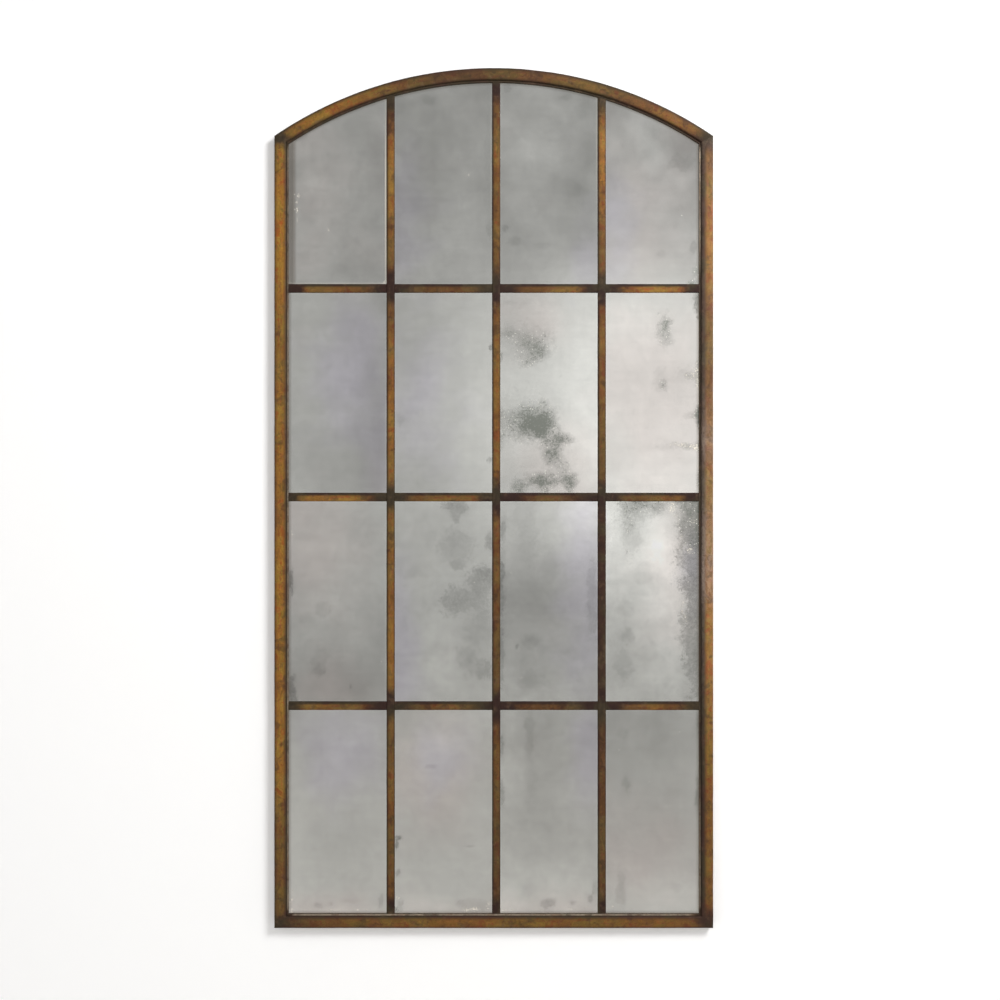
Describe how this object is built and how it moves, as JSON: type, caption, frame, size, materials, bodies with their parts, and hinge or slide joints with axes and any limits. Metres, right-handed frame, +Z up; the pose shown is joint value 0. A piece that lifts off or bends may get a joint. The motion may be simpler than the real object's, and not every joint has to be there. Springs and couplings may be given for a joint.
{
  "type": "arched mirror",
  "caption": "Tall arched window-pane wall mirror: antiqued mirror panes behind glazing bars in a patinated steel tube frame, with a clipped backing board and two swinging hanging rings.",
  "frame": {"origin": "bottom centre of the whole mirror, halfway through its depth from the frame's front face to the wall plane that the pads bear on", "axes": "+X to the viewer's right, +Y from the mirror's face towards the wall, so the mirror faces -Y, +Z up"},
  "size_m": [1.067, 0.028, 2.091],
  "materials": {
    "frame_steel": "rubbed golden-brown patina, dark at the edges",
    "lip_steel": "brown patina",
    "bar_steel": "rubbed brown patina, nearly black at the crossings",
    "antiqued_mirror": "silvered glass with clouded, speckled and desilvered patches",
    "foam": "closed-cell foam",
    "fibreboard": "raw hardboard",
    "zinc_plate": "zinc plated",
    "screw_steel": "zinc plated",
    "hanger_steel": "nickel plated, satin",
    "pad_rubber": "matt"
  },
  "bodies": {
    "frame": {"left_stile": "frame_steel", "right_stile": "frame_steel", "bottom_rail": "frame_steel", "arch_rail": "frame_steel", "left_lip": "lip_steel", "right_lip": "lip_steel", "bottom_lip": "lip_steel", "arch_lip": "lip_steel", "upright_bar_left": "bar_steel", "upright_bar_middle": "bar_steel", "upright_bar_right": "bar_steel", "crossbar_row1_col1": "bar_steel", "crossbar_row1_col2": "bar_steel", "crossbar_row1_col3": "bar_steel", "crossbar_row1_col4": "bar_steel", "crossbar_row2_col1": "bar_steel", "crossbar_row2_col2": "bar_steel", "crossbar_row2_col3": "bar_steel", "crossbar_row2_col4": "bar_steel", "crossbar_row3_col1": "bar_steel", "crossbar_row3_col2": "bar_steel", "crossbar_row3_col3": "bar_steel", "crossbar_row3_col4": "bar_steel", "pane_row1_col1": "antiqued_mirror", "pane_row1_col2": "antiqued_mirror", "pane_row1_col3": "antiqued_mirror", "pane_row1_col4": "antiqued_mirror", "pane_row2_col1": "antiqued_mirror", "pane_row2_col2": "antiqued_mirror", "pane_row2_col3": "antiqued_mirror", "pane_row2_col4": "antiqued_mirror", "pane_row3_col1": "antiqued_mirror", "pane_row3_col2": "antiqued_mirror", "pane_row3_col3": "antiqued_mirror", "pane_row3_col4": "antiqued_mirror", "pane_row4_col1": "antiqued_mirror", "pane_row4_col2": "antiqued_mirror", "pane_row4_col3": "antiqued_mirror", "pane_row4_col4": "antiqued_mirror", "foam_tape": "foam", "backing_board": "fibreboard", "board_clips": "zinc_plate", "clip_screws": "screw_steel", "hanger_plate_left": "hanger_steel", "hanger_plate_right": "hanger_steel", "hanger_screws": "screw_steel", "wall_pads": "pad_rubber"},
    "ring_left": {"hanger_ring_left": "hanger_steel"},
    "ring_right": {"hanger_ring_right": "hanger_steel"}
  },
  "joints": [
    {"name": "ring_left_swing", "type": "hinge", "parent": "frame", "child": "ring_left", "pos_m": [-0.519, 0.0099, 1.5], "axis": [1, 0, 0], "range_deg": [0, 180]},
    {"name": "ring_right_swing", "type": "hinge", "parent": "frame", "child": "ring_right", "pos_m": [0.519, 0.0099, 1.5], "axis": [1, 0, 0], "range_deg": [0, 180]}
  ]
}
